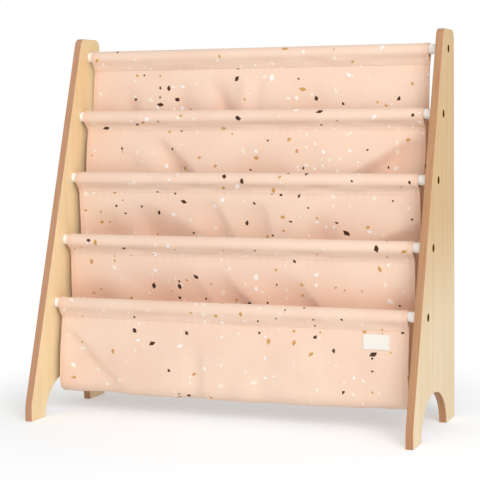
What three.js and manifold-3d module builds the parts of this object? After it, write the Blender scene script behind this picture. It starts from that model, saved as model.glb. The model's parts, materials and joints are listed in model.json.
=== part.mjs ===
// A child's book rack: two slanted side panels hold five round rods, and cloth slings
// hang between the rods as four stepped pockets that show the books face on.
// Millimetres. X runs along the rods, Y from the front to the back, Z up.
// The origin is on the floor, in the middle of the rack.

import * as THREE from 'three';
import { mergeVertices } from 'three/addons/utils/BufferGeometryUtils.js';
import Module from 'manifold-3d';

const wasm = await Module();
wasm.setup();

// Driving dimensions

const rack = {
  width: 620, // over the outer faces of both panels
  height: 600,
  depth: 252,
};

const panel = {
  thickness: 12,
  topDepth: 64, // front to back, where the slanted edge would meet the top
  toeHeight: 24.5, // upright stretch of the front edge, above the floor
  toeBendRadius: 40,
  topRadius: 14,
  edgeEase: 1.2, // rounding along both faces
  frontFootDepth: 45,
  rearFootDepth: 53.5,
  archHeight: 59.5,
};

const rod = {
  count: 5,
  diameter: 16,
  wall: 1.2,
  topDrop: 30, // top of the panels to the highest rod's axis
  lowestHeight: 176, // floor to the lowest rod's axis
  setback: 37, // slanted front edge to each rod's axis, front to back
};

const bolt = {
  shankDiameter: 6,
  threadLength: 15, // past the panel's inner face
  headDiameter: 12,
  headHeight: 2.5,
  headChamfer: 0.5,
  tipChamfer: 0.8,
  socketAcross: 4, // across the flats of the hexagon socket
  socketDepth: 1.7,
};

const plug = {
  length: 24,
  leadChamfer: 1.5, // eases the plug into the tube
};

const cloth = {
  thickness: 1.3,
  leftGap: 6, // left panel to the side hem
  rightGap: 17, // right panel to the side hem
  sleeveRoom: 1.5, // slack of a sleeve round its rod
  tabDrop: 11, // underside of a sleeve to its stitch line
  seamSetback: 3, // stitch line behind the rod's axis
  floorGap: 34, // floor to the lowest pocket's bottom
  bottomSag: 3, // more drop of a pocket's bottom, half way along the rods
  hangGap: 3, // air between a pocket's front and the wall that hangs before it
  foldDepth: 5.5,
  foldWidth: 26,
  foldReach: 45, // stitch line to where the folds are full
};

const label = {
  width: 41,
  height: 23,
  thickness: 0.6,
  hemInset: 29, // right side hem to the label
  seamInset: 5, // stitch line to the label
};

const seatGap = 0.3; // between pieces that bear on each other
const holeClearance = 0.3; // round a bolt, all the way
const cutOverrun = 1;

// Fineness of the faceted surfaces

const panelCurveSegments = 10;
const easeSegments = 2;
const rodSegments = 20;
const boltSegments = 14;
const plugSegments = 12;
const hexagonSides = 6;
const clothStations = 19;
const sleeveSegments = 6;
const bottomSegments = 5;

// The visible wall below each rod, from the highest rod down: how far it leans forwards, as
// shares of the step from rod to rod, at the mouth of the pocket below it, how much more it
// leans by its foot, and its folds.
// A fold starts at a share of the cloth's width, drifts sideways by its slant as it falls,
// and takes its depth and width from cloth.foldDepth and cloth.foldWidth.
const wallShares = [
  {
    mouthShare: 0.22,
    footShare: -0.1,
    foldShares: [
      { at: 0.115, slant: 0, depth: -0.5, width: 0.9 },
      { at: 0.34, slant: 0.7, depth: -0.8, width: 1 },
      { at: 0.475, slant: 0, depth: 0.5, width: 1 },
      { at: 0.67, slant: 0.15, depth: -0.5, width: 1.3 },
    ],
  },
  {
    mouthShare: 0.26,
    footShare: -0.5,
    foldShares: [
      { at: 0.19, slant: 0.9, depth: -1, width: 0.9 },
      { at: 0.38, slant: 0.2, depth: 0.4, width: 1.3 },
      { at: 0.6, slant: 0.25, depth: -0.5, width: 1.5 },
      { at: 1, slant: -1.6, depth: -1.2, width: 1.1 },
    ],
  },
  {
    mouthShare: -0.19,
    footShare: -0.06,
    foldShares: [
      { at: 0.08, slant: 0.1, depth: -0.8, width: 1.2 },
      { at: 0.22, slant: 0.75, depth: -0.9, width: 0.9 },
      { at: 0.41, slant: 0.5, depth: -0.8, width: 0.9 },
      { at: 0.56, slant: 0.15, depth: -0.9, width: 0.9 },
      { at: 0.93, slant: 0, depth: -0.6, width: 1.2 },
    ],
  },
  {
    mouthShare: -0.36,
    footShare: 0.12,
    foldShares: [
      { at: 0.07, slant: 0.1, depth: -0.8, width: 1.1 },
      { at: 0.24, slant: 0.65, depth: -0.8, width: 1 },
      { at: 0.46, slant: 0.7, depth: -1, width: 0.9 },
      { at: 0.64, slant: 0.65, depth: -0.9, width: 0.9 },
      { at: 0.93, slant: 0, depth: -0.6, width: 1.2 },
    ],
  },
  {
    mouthShare: 0.2,
    footShare: 0,
    foldShares: [
      { at: 0.01, slant: 1.1, depth: -0.9, width: 0.9 },
      { at: 0.42, slant: 0.05, depth: -0.5, width: 0.9 },
      { at: 0.57, slant: 0.5, depth: -0.4, width: 1.1 },
      { at: 0.8, slant: 0, depth: 0.3, width: 1.3 },
    ],
  },
];
const footFadeShare = 0.5; // of its folds that a wall has left at its foot

// Places, as shares, of the rings of points down a wall
const upperWallShares = [0, 0.3, 0.62, 1]; // stitch line to the mouth
const lowerWallShares = [0.5, 1]; // mouth to the start of the rounded bottom

// Worked out from the driving dimensions

const innerFace = rack.width / 2 - panel.thickness;
const backEdge = rack.depth / 2;
const rodLength = 2 * (innerFace - seatGap);
const rodBore = rod.diameter / 2 - rod.wall;
const pitch = (rack.height - rod.topDrop - rod.lowestHeight) / (rod.count - 1);
const step = rodAxis(0).x - rodAxis(1).x;
const sleeveInner = rod.diameter / 2 + cloth.sleeveRoom;
const sleeveSag = cloth.sleeveRoom - seatGap;
const seamDrop = sleeveInner + sleeveSag + cloth.thickness + cloth.tabDrop;
const pocketDrop = rod.lowestHeight - cloth.floorGap;
const clothLeft = cloth.leftGap - innerFace;
const clothRight = innerFace - cloth.rightGap;
const clothWidth = clothRight - clothLeft;
const counterboreDepth = bolt.headHeight + seatGap;
const upperDrops = spread(seamDrop, pitch, upperWallShares);

// Small helpers

function smooth(value) {
  const t = THREE.MathUtils.clamp(value, 0, 1);
  return t * t * (3 - 2 * t);
}

function rodAxis(index) {
  const z = rack.height - rod.topDrop - index * pitch;
  const rise = (z - panel.toeHeight) / (rack.height - panel.toeHeight);
  const frontEdge = -backEdge + rise * (rack.depth - panel.topDepth);
  return new THREE.Vector2(frontEdge + rod.setback, z);
}

function solidOf(geometry) {
  const bare = geometry.clone();
  bare.deleteAttribute('normal');
  bare.deleteAttribute('uv');
  const merged = mergeVertices(bare);
  const vertProperties = new Float32Array(merged.attributes.position.array);
  const triVerts = new Uint32Array(merged.index.array);
  return new wasm.Manifold(new wasm.Mesh({ numProp: 3, vertProperties, triVerts }));
}

function geometryOf(solid) {
  const mesh = solid.getMesh();
  const geometry = new THREE.BufferGeometry();
  geometry.setAttribute('position', new THREE.BufferAttribute(new Float32Array(mesh.vertProperties), 3));
  geometry.setIndex(new THREE.BufferAttribute(new Uint32Array(mesh.triVerts), 1));
  geometry.computeVertexNormals();
  return geometry;
}

function named(name, geometry, material) {
  const mesh = new THREE.Mesh(geometry, material);
  mesh.name = name;
  return mesh;
}

// A round bar along X, from one X to another, on the axis at height z and depth y
function barAlongX(radius, from, to, y, z, segments) {
  const bar = new THREE.CylinderGeometry(radius, radius, to - from, segments);
  bar.rotateZ(-Math.PI / 2);
  bar.translate((from + to) / 2, y, z);
  return bar;
}

// A body turned from a profile of [radius, distance] points, lying along X
function turnedAlongX(profile, segments) {
  const points = profile.map(([radius, along]) => new THREE.Vector2(radius, along));
  const body = new THREE.LatheGeometry(points, segments);
  body.rotateZ(-Math.PI / 2);
  return body;
}

// Side panels

// Adds a corner to an outline, rounded by a radius
function addRoundedCorner(outline, before, corner, after, radius) {
  const toBefore = before.clone().sub(corner).normalize();
  const toAfter = after.clone().sub(corner).normalize();
  const halfAngle = Math.acos(toBefore.dot(toAfter)) / 2;
  const reach = radius / Math.tan(halfAngle);
  const start = corner.clone().addScaledVector(toBefore, reach);
  const end = corner.clone().addScaledVector(toAfter, reach);
  const bisector = toBefore.clone().add(toAfter).normalize();
  const centre = corner.clone().addScaledVector(bisector, radius / Math.sin(halfAngle));
  const startAngle = start.clone().sub(centre).angle();
  const endAngle = end.clone().sub(centre).angle();
  outline.lineTo(start.x, start.y);
  outline.absarc(centre.x, centre.y, radius, startAngle, endAngle, false);
}

// The panel seen from the right side: depth along the page's x, height up it
function panelOutline() {
  const rearBottom = new THREE.Vector2(backEdge, 0);
  const rearTop = new THREE.Vector2(backEdge, rack.height);
  const frontTop = new THREE.Vector2(backEdge - panel.topDepth, rack.height);
  const toeBend = new THREE.Vector2(-backEdge, panel.toeHeight);
  const frontBottom = new THREE.Vector2(-backEdge, 0);
  const archFront = -backEdge + panel.frontFootDepth;
  const archRear = backEdge - panel.rearFootDepth;
  const archMiddle = (archFront + archRear) / 2;
  const archHalf = (archRear - archFront) / 2;

  const outline = new THREE.Shape();
  outline.moveTo(rearBottom.x, rearBottom.y);
  addRoundedCorner(outline, rearBottom, rearTop, frontTop, panel.topRadius);
  addRoundedCorner(outline, rearTop, frontTop, toeBend, panel.topRadius);
  addRoundedCorner(outline, frontTop, toeBend, frontBottom, panel.toeBendRadius);
  outline.lineTo(frontBottom.x, frontBottom.y);
  outline.lineTo(archFront, 0);
  outline.absellipse(archMiddle, 0, archHalf, panel.archHeight, Math.PI, 0, true);
  outline.closePath();
  return outline;
}

// side is 1 for the right panel and -1 for the left one
function panelGeometry(side) {
  const board = new THREE.ExtrudeGeometry(panelOutline(), {
    depth: panel.thickness - 2 * panel.edgeEase,
    bevelThickness: panel.edgeEase,
    bevelSize: panel.edgeEase,
    bevelOffset: -panel.edgeEase,
    bevelSegments: easeSegments,
    curveSegments: panelCurveSegments,
  });
  const upright = new THREE.Matrix4().makeBasis(
    new THREE.Vector3(0, 1, 0),
    new THREE.Vector3(0, 0, 1),
    new THREE.Vector3(1, 0, 0),
  );
  board.applyMatrix4(upright);
  const boardStart = side > 0 ? innerFace : -rack.width / 2;
  board.translate(boardStart + panel.edgeEase, 0, 0);

  let solid = solidOf(board);
  for (let index = 0; index < rod.count; index += 1) {
    solid = solid.subtract(boltHole(side, rodAxis(index)));
  }
  return geometryOf(solid);
}

// Clearance hole with a counterbore that takes the bolt's head flush
function boltHole(side, axis) {
  const outer = side * rack.width / 2;
  const past = side * cutOverrun;
  const floor = outer - side * counterboreDepth;
  const holeRadius = bolt.shankDiameter / 2 + holeClearance;
  const headRadius = bolt.headDiameter / 2 + holeClearance;
  const [holeFrom, holeTo] = [side * innerFace - past, outer + past].sort((a, b) => a - b);
  const [boreFrom, boreTo] = [floor, outer + past].sort((a, b) => a - b);
  const hole = barAlongX(holeRadius, holeFrom, holeTo, axis.x, axis.y, boltSegments);
  const bore = barAlongX(headRadius, boreFrom, boreTo, axis.x, axis.y, boltSegments);
  return solidOf(hole).add(solidOf(bore));
}

// Rods, plugs and bolts

function rodGeometry() {
  const outer = rod.diameter / 2;
  const half = rodLength / 2;
  return turnedAlongX([
    [rodBore, -half],
    [outer, -half],
    [outer, half],
    [rodBore, half],
    [rodBore, -half],
  ], rodSegments);
}

// Threaded plug in a tube's end; its outer end faces +X at X = 0
function plugGeometry() {
  const outer = rodBore - seatGap;
  const bore = bolt.shankDiameter / 2 + seatGap;
  return turnedAlongX([
    [bore, -plug.length],
    [outer - plug.leadChamfer, -plug.length],
    [outer, plug.leadChamfer - plug.length],
    [outer, 0],
    [bore, 0],
    [bore, -plug.length],
  ], plugSegments);
}

// Flat-headed bolt with a hexagon socket; its head's face is at X = 0 and faces +X
function boltGeometry() {
  const head = bolt.headDiameter / 2;
  const shank = bolt.shankDiameter / 2;
  const tip = -(panel.thickness + bolt.threadLength);
  const body = turnedAlongX([
    [0, tip],
    [shank - bolt.tipChamfer, tip],
    [shank, tip + bolt.tipChamfer],
    [shank, -bolt.headHeight],
    [head, -bolt.headHeight],
    [head, -bolt.headChamfer],
    [head - bolt.headChamfer, 0],
    [0, 0],
  ], boltSegments);
  const corner = bolt.socketAcross / 2 / Math.cos(Math.PI / hexagonSides);
  const socket = barAlongX(corner, -bolt.socketDepth, cutOverrun, 0, 0, hexagonSides);
  return geometryOf(solidOf(body).subtract(solidOf(socket)));
}

// Cloth

// How far the folds push the wall below a rod forwards, at an X and a drop below the axis
function foldPush(level, x, drop) {
  const { foldShares } = wallShares[level % wallShares.length];
  const slide = Math.min(drop, pitch) - seamDrop;
  const growth = smooth((drop - seamDrop) / cloth.foldReach);
  const fade = 1 - (1 - footFadeShare) * smooth((drop - pitch) / pocketDrop);
  let push = 0;
  for (const fold of foldShares) {
    const middle = clothLeft + fold.at * clothWidth + fold.slant * slide;
    const offset = (x - middle) / (fold.width * cloth.foldWidth);
    push += fold.depth * cloth.foldDepth * Math.exp(-offset * offset);
  }
  return push * growth * fade;
}

// How far the wall below a rod leans forwards at a drop below the axis
function wallLean(level, drop) {
  const { mouthShare, footShare } = wallShares[level % wallShares.length];
  const upper = THREE.MathUtils.clamp((drop - seamDrop) / (pitch - seamDrop), 0, 1);
  const lower = smooth((drop - pitch) / pocketDrop);
  return step * (mouthShare * upper * (2 - upper) + footShare * lower);
}

// Y of the middle of the wall that hangs from a rod
function wallY(level, x, drop) {
  return rodAxis(level).x + cloth.seamSetback - wallLean(level, drop) - foldPush(level, x, drop);
}

// Points down the middle of the wall below a rod, at a row of drops below the axis
function wallLine(level, x, drops) {
  const { y: z } = rodAxis(level);
  return drops.map((drop) => new THREE.Vector2(wallY(level, x, drop), z - drop));
}

// Points down the middle of a pocket's front, which hangs just behind the next rod's wall
function frontLine(next, x, drops) {
  const wall = wallLine(next, x, drops);
  const away = drops.map((drop) => {
    const air = cloth.hangGap * smooth((drop - seamDrop) / cloth.foldReach);
    return cloth.thickness + seatGap + air;
  });
  return offsetLine(wall, away);
}

function spread(from, to, shares) {
  return shares.map((share) => THREE.MathUtils.lerp(from, to, share));
}

// The middle line of one sling's section at an X: down the wall from the rod's stitch line,
// round the pocket's bottom and up its front to the next rod's stitch line
function slingLine(level, x, isLowest) {
  const next = level + 1;
  const wallAxis = rodAxis(level);
  const nextAxis = rodAxis(next);
  const middleX = (clothLeft + clothRight) / 2;
  const bottomZ = nextAxis.y - pocketDrop;
  const frontRun = isLowest ? wallLine : frontLine;
  const [nominalBack] = wallLine(level, middleX, [wallAxis.y - bottomZ]);
  const [, nominalFront] = frontRun(next, middleX, [pitch, pocketDrop]);
  const bottomRadius = (nominalBack.x - nominalFront.x) / 2;
  const turnZ = bottomZ + bottomRadius;
  const turnDrop = wallAxis.y - turnZ;
  const line = wallLine(level, x, [...upperDrops, ...spread(pitch, turnDrop, lowerWallShares)]);

  const frontTop = isLowest ? seamDrop : seamDrop + cloth.thickness;
  const frontFoot = nextAxis.y - turnZ;
  const between = upperDrops.filter((drop) => drop > frontTop && drop < frontFoot);
  const front = frontRun(next, x, [frontTop, ...between, frontFoot]).reverse();

  const along = 2 * (x - middleX) / clothWidth;
  const bottomDepth = bottomRadius + cloth.bottomSag * (1 - along * along);
  const turnBack = line.at(-1).x;
  const turnFront = front[0].x;
  for (let turn = 1; turn < bottomSegments; turn += 1) {
    const angle = Math.PI * turn / bottomSegments;
    const y = (turnBack + turnFront) / 2 + (turnBack - turnFront) / 2 * Math.cos(angle);
    line.push(new THREE.Vector2(y, turnZ - bottomDepth * Math.sin(angle)));
  }
  return [...line, ...front];
}

// A line moved sideways point by point, to the left of its run where an offset is positive
function offsetLine(line, offsets) {
  return line.map((point, index) => {
    const before = line[Math.max(index - 1, 0)];
    const after = line[Math.min(index + 1, line.length - 1)];
    const run = after.clone().sub(before).normalize();
    const offset = offsets[index];
    return new THREE.Vector2(point.x - run.y * offset, point.y + run.x * offset);
  });
}

// Sleeve round a rod: a loop of cloth that draws in to the stitch line under it.
// Returns the loop's outside, from its back over the top to its front, and its bore.
function sleeveLoop(level) {
  const axis = rodAxis(level);
  const centre = new THREE.Vector2(axis.x, axis.y - sleeveSag);
  const seam = new THREE.Vector2(axis.x + cloth.seamSetback, axis.y - seamDrop);
  const toSeam = seam.clone().sub(centre);
  const middleRadius = sleeveInner + cloth.thickness / 2;
  const touch = Math.acos(middleRadius / toSeam.length());
  const sweep = 2 * (Math.PI - touch);
  const stretch = 1 / Math.cos(sweep / sleeveSegments / 2);
  const outside = [];
  const bore = [];
  for (let turn = 0; turn <= sleeveSegments; turn += 1) {
    const angle = toSeam.angle() + touch + sweep * turn / sleeveSegments;
    const out = new THREE.Vector2(Math.cos(angle), Math.sin(angle));
    outside.push(centre.clone().addScaledVector(out, (sleeveInner + cloth.thickness) * stretch));
    bore.push(centre.clone().addScaledVector(out, sleeveInner * stretch));
  }
  bore.push(centre.clone().addScaledVector(toSeam, sleeveInner / middleRadius));
  return { outside, bore };
}

// One sling's section at an X: its outline, and the bores of its sleeves
function slingSection(level, x, isLowest) {
  const line = slingLine(level, x, isLowest);
  const back = offsetLine(line, line.map(() => cloth.thickness / 2));
  const inside = offsetLine(line, line.map(() => -cloth.thickness / 2));
  const upper = sleeveLoop(level);
  const outline = [...upper.outside, ...inside];
  const bores = [upper.bore];
  if (isLowest) {
    const lower = sleeveLoop(level + 1);
    outline.push(...lower.outside);
    bores.push(lower.bore);
  }
  outline.push(...back.reverse());
  return { outline, bores };
}

// Joins like sections at a row of X places into one closed body. Every four-sided patch is
// split along the same slant, so that sheets of cloth that lie together stay apart.
function loft(places, sections) {
  const rings = sections.map(({ outline, bores }) => [...outline, ...bores.flat()]);
  const count = rings[0].length;
  const positions = [];
  places.forEach((x, place) => {
    for (const point of rings[place]) {
      positions.push(x, point.x, point.y);
    }
  });

  const indices = [];
  const loops = [sections[0].outline, ...sections[0].bores];
  let start = 0;
  for (const loop of loops) {
    const turn = THREE.ShapeUtils.isClockWise(loop) === (start === 0);
    for (let corner = 0; corner < loop.length; corner += 1) {
      const following = (corner + 1) % loop.length;
      const rises = loop[following].y > loop[corner].y;
      for (let place = 0; place < places.length - 1; place += 1) {
        const a = place * count + start + corner;
        const b = place * count + start + following;
        const [c, d] = [a + count, b + count];
        const corners = rises ? [a, c, b, b, c, d] : [a, c, d, a, d, b];
        indices.push(...(turn ? corners : corners.reverse()));
      }
    }
    start += loop.length;
  }

  for (const place of [0, places.length - 1]) {
    const { outline, bores } = sections[place];
    for (const [a, b, c] of THREE.ShapeUtils.triangulateShape([...outline], bores)) {
      const face = [a, b, c].map((index) => rings[place][index]);
      const facesRight = !THREE.ShapeUtils.isClockWise(face);
      const base = place * count;
      const corners = [base + a, base + b, base + c];
      indices.push(...(facesRight === (place > 0) ? corners : corners.reverse()));
    }
  }

  const geometry = new THREE.BufferGeometry();
  geometry.setAttribute('position', new THREE.Float32BufferAttribute(positions, 3));
  geometry.setIndex(indices);
  geometry.computeVertexNormals();
  return geometry;
}

function stationX(station) {
  return clothLeft + clothWidth * station / clothStations;
}

function slingGeometry(level) {
  const isLowest = level === rod.count - 2;
  const places = Array.from({ length: clothStations + 1 }, (_, station) => stationX(station));
  return loft(places, places.map((x) => slingSection(level, x, isLowest)));
}

// Y of the middle of the lowest pocket's front, straight between the cloth's own points
function facetedFrontY(x, drop) {
  const level = rod.count - 1;
  const station = Math.floor((x - clothLeft) / clothWidth * clothStations);
  const [left, right] = [stationX(station), stationX(station + 1)];
  const ring = upperDrops.findLastIndex((ringDrop) => ringDrop <= drop);
  const [upper, lower] = [upperDrops[ring], upperDrops[ring + 1]];
  const across = (x - left) / (right - left);
  const down = (drop - upper) / (lower - upper);
  const ends = [upper, lower].map((ringDrop) => {
    return THREE.MathUtils.lerp(wallY(level, left, ringDrop), wallY(level, right, ringDrop), across);
  });
  return THREE.MathUtils.lerp(...ends, down);
}

// Blank label, which lies on the front of the lowest pocket and bends with it
function labelGeometry() {
  const lowestAxis = rodAxis(rod.count - 1);
  const right = clothRight - label.hemInset;
  const left = right - label.width;
  const stations = Array.from({ length: clothStations + 1 }, (_, station) => stationX(station));
  const places = [left, ...stations.filter((x) => x > left && x < right), right];
  const top = seamDrop + label.seamInset;
  const bottom = top + label.height;
  const drops = [top, ...upperDrops.filter((drop) => drop > top && drop < bottom), bottom];
  const sections = places.map((x) => {
    const backOf = (drop) => facetedFrontY(x, drop) - cloth.thickness / 2 - seatGap;
    const rear = drops.map((drop) => new THREE.Vector2(backOf(drop), lowestAxis.y - drop));
    const face = rear.map((point) => new THREE.Vector2(point.x - label.thickness, point.y));
    return { outline: [...rear, ...face.reverse()], bores: [] };
  });
  return loft(places, sections);
}

// Finishes

const wood = new THREE.MeshStandardMaterial({ color: 0xe6c596, roughness: 0.5, metalness: 0 });
const rodPaint = new THREE.MeshStandardMaterial({ color: 0xf4f4f2, roughness: 0.35, metalness: 0 });
const nylon = new THREE.MeshStandardMaterial({ color: 0xd8d8d4, roughness: 0.6, metalness: 0 });
const bronze = new THREE.MeshStandardMaterial({ color: 0x7a6038, roughness: 0.4, metalness: 0.8 });
const canvas = new THREE.MeshStandardMaterial({ color: 0xf0cdb6, roughness: 0.95, metalness: 0 });
const labelCloth = new THREE.MeshStandardMaterial({ color: 0xfbf8f2, roughness: 0.9, metalness: 0 });

// Assembly

function buildPanels(group) {
  group.add(named('left_side_panel', panelGeometry(-1), wood.clone()));
  group.add(named('right_side_panel', panelGeometry(1), wood.clone()));
}

// One rod with the plug in each of its ends and the bolt through each panel
function buildRod(group, index) {
  const axis = rodAxis(index);
  const number = index + 1;
  const bar = named(`rod_${number}`, rodGeometry(), rodPaint.clone());
  bar.position.set(0, axis.x, axis.y);
  group.add(bar);
  for (const [sideName, side] of [['left', -1], ['right', 1]]) {
    const turn = side > 0 ? 0 : Math.PI;
    const insert = named(`plug_${sideName}_${number}`, plugGeometry(), nylon.clone());
    insert.position.set(side * rodLength / 2, axis.x, axis.y);
    insert.rotation.z = turn;
    group.add(insert);
    const screw = named(`bolt_${sideName}_${number}`, boltGeometry(), bronze.clone());
    screw.position.set(side * rack.width / 2, axis.x, axis.y);
    screw.rotation.z = turn;
    group.add(screw);
  }
}

function buildCloth(group) {
  for (let level = 0; level < rod.count - 1; level += 1) {
    group.add(named(`sling_${level + 1}`, slingGeometry(level), canvas.clone()));
  }
  group.add(named('label', labelGeometry(), labelCloth.clone()));
}

const group = new THREE.Group();
buildPanels(group);
for (let index = 0; index < rod.count; index += 1) {
  buildRod(group, index);
}
buildCloth(group);

export default group;
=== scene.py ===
import json
import math

import bpy
import numpy as np
from mathutils import Matrix, Vector, noise


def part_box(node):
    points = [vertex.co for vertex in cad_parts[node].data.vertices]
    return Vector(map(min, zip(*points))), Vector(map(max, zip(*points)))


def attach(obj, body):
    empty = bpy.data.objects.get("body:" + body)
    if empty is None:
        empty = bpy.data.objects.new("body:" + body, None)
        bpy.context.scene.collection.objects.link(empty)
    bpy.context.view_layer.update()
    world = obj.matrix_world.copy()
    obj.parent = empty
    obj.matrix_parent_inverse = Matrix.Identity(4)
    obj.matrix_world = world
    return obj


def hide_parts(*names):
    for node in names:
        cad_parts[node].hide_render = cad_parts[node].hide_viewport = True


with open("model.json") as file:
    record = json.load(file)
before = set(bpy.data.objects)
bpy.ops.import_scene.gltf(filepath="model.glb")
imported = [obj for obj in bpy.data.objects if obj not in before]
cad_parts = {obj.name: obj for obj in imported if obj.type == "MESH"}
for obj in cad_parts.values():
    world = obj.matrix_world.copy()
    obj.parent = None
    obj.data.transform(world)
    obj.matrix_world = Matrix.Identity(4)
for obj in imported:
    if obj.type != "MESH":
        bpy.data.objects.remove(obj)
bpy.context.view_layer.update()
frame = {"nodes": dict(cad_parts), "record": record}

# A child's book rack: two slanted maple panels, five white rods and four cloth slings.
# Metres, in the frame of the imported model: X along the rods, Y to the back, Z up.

# The photograph's camera
CAMERA_PLACE = Vector((0.84378, -2.15226, 0.47378))
CAMERA_YAW = math.radians(21.34)
CAMERA_PITCH = math.radians(-3.09)
CAMERA_ROLL = math.radians(-0.55)
PICTURE_PIXELS = 480
FOCAL_PIXELS = 1498.04
AXIS_ROW = 195  # the row of the picture that the lens points at
SENSOR = 36

# The cloth, as it hangs
CLOTH = 0.0009
CAD_CLOTH = 0.0013
SLEEVE_ROOM = 0.0015
SEAT_GAP = 0.0003
TAB_DROP = 0.011  # underside of a sleeve to its stitch line
SEAM_SETBACKS = [0.003, 0.007, 0.004, 0.0045, 0.003]  # stitch lines behind their rods, from the top
CORNER_RISES = [0.0014, 0.0048, 0.006, 0.005, 0.003]  # stitch lines to where sleeves turn upright
CORNER_SHARE = 0.75  # how tightly they turn there
FLOOR_GAP = 0.034
BOTTOM_SAG = 0.003
BOTTOM_RISE = 0.003  # of the lowest pocket, from its left end to its right
HANG_GAP = 0.003  # air between a pocket's front and the wall that hangs before it
HANG_REACH = 0.045  # stitch line to where that gap is full
LEFT_INSET = 0.002  # of the left hem from the end of the solid's
MOUTH_LEANS = [0.25, 0.3, -0.08, -0.02, 0.2]  # of the step between two rods, top wall first
FOOT_LEANS = [-0.1, -0.5, -0.06, 0.12, 0]
DIP_REACH = 0.055  # from the start of a soft hollow to its full depth
DART_REACH = 0.065  # the same for a crease
RIDGE_ROUND = 0.004
FOOT_FADE_SHARE = 0.5  # of its folds that a wall has left at its foot

# Its unevenness
PUCKER_PITCH = 0.0125
PUCKER_DEPTH = 0.0003
PUCKER_REACH = 0.007
PUCKER_PHASE = 1.9  # from one rod to the next
PUCKER_DRIFT = 1.3  # how unevenly the puckers are spaced
PUCKER_DRIFT_RATE = 31
WRINKLE_DEPTH = 0.0017
WRINKLE_SIZE = 0.05
WRINKLE_STRETCH = 1.6  # how much longer they are down the cloth
FINE_WRINKLE_SHARE = 0.4
FINE_WRINKLE_SCALE = 2.3
WRINKLE_SEED = 7.3
SEAM_CALM = 0.03  # how far from a seam the cloth starts to wrinkle
SLACK_SHARE = 1.5  # of the wrinkles, in a sleeve's slack front
SLACK_RUN = 0.01  # where it is slackest, from its stitch line
SLACK_REACH = 0.006

# Its painted shade: a darker, pinker tint where it lies deep in a pocket or in a fold
POCKET_SHADES = [0, 0, 0.22, 0.65]  # how much each pocket's back takes, from the top
SHADE_START = 0.035  # from a rod down to where its pocket's tint starts
SHADE_REACH = 0.06
FOLD_SHADE = 0.022  # how deep a fold takes all of it

# Its sewing
HEM_WIDTH = 0.009
HEM_EXTRA = 0.0007  # how much thicker the cloth is where it is turned in
HEM_STEP_SHARE = 0.1  # of the hem's width, over which it gets thicker
TAB_GAP = 0.0001  # between a sleeve's front layer and the wall it is sewn to
RIM = 0.0005  # the rounded edge of the cloth
RIM_SHARE = 0.45  # how thick the cloth is at its very edge
STITCH_INSET = 0.0024
STITCH_LENGTH = 0.0029
STITCH_PITCH = 0.004
STITCH_RADIUS = 0.00027
STITCH_SINK = 0.00012  # how deep the ends of a stitch go into the cloth
STITCH_TIP_SHARE = 0.06  # of its section that a stitch has left at its ends
STITCH_RINGS = 5
STITCH_SIDES = 6
PRINT_SHIFT = (0.37, 1.31)  # from one sling to the next, along the roll it was cut from

# The label
LABEL_CLOTH = 0.0004
LABEL_LIFT = 0.0001
LABEL_PUFF = 0.0005
LABEL_WAVE = 0.3  # how uneven its puff is
LABEL_WAVE_RATES = (2.2, 1.4)  # across it and up it
LABEL_FOLD_EXTRA = 0.6  # how much thicker it is at its folded ends, as a share
LABEL_STITCH_INSET = 0.0015
LABEL_STITCH_SCALE = 0.7

# Fineness of the meshes
ACROSS_STEP = 0.003
DOWN_STEP = 0.0035
SLEEVE_STEP = 0.0016
LABEL_STEP = 0.0012
RIM_PLACES = np.array([0, 0.2, 0.5, 1]) * RIM
HEM_PLACES = np.array([0.2, 0.4, 0.6, 0.8, 0.9, 1, 1.12]) * HEM_WIDTH
CORNER_SAMPLES = 100
SLOPE_STEP = 0.0005

LEVELS = 5  # rods, and the walls of cloth that hang from them

# Places taken from the frame

def rod_axis(level):
    low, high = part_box(f"rod_{level + 1}")
    return (low.y + high.y) / 2, (low.z + high.z) / 2


AXES = [rod_axis(level) for level in range(LEVELS)]
ROD_RADIUS = (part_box("rod_1")[1].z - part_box("rod_1")[0].z) / 2
PITCH = AXES[0][1] - AXES[1][1]
STEP = AXES[0][0] - AXES[1][0]
CLOTH_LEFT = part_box("sling_1")[0].x + LEFT_INSET
CLOTH_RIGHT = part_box("sling_1")[1].x
CLOTH_WIDTH = CLOTH_RIGHT - CLOTH_LEFT
SLEEVE_RADIUS = ROD_RADIUS + SLEEVE_ROOM + CAD_CLOTH / 2
SLEEVE_SAG = SLEEVE_ROOM - SEAT_GAP
SEAM_DROP = ROD_RADIUS + SLEEVE_ROOM + SLEEVE_SAG + CAD_CLOTH + TAB_DROP
POCKET_DROP = AXES[-1][1] - FLOOR_GAP


# Small helpers for shader nodes

def linear(red, green, blue):
    """A colour given as it shows on a screen, 0 to 255, as the shader's own numbers."""
    def channel(value):
        value /= 255
        return value / 12.92 if value <= 0.04045 else ((value + 0.055) / 1.055) ** 2.4
    return (channel(red), channel(green), channel(blue), 1)


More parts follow.
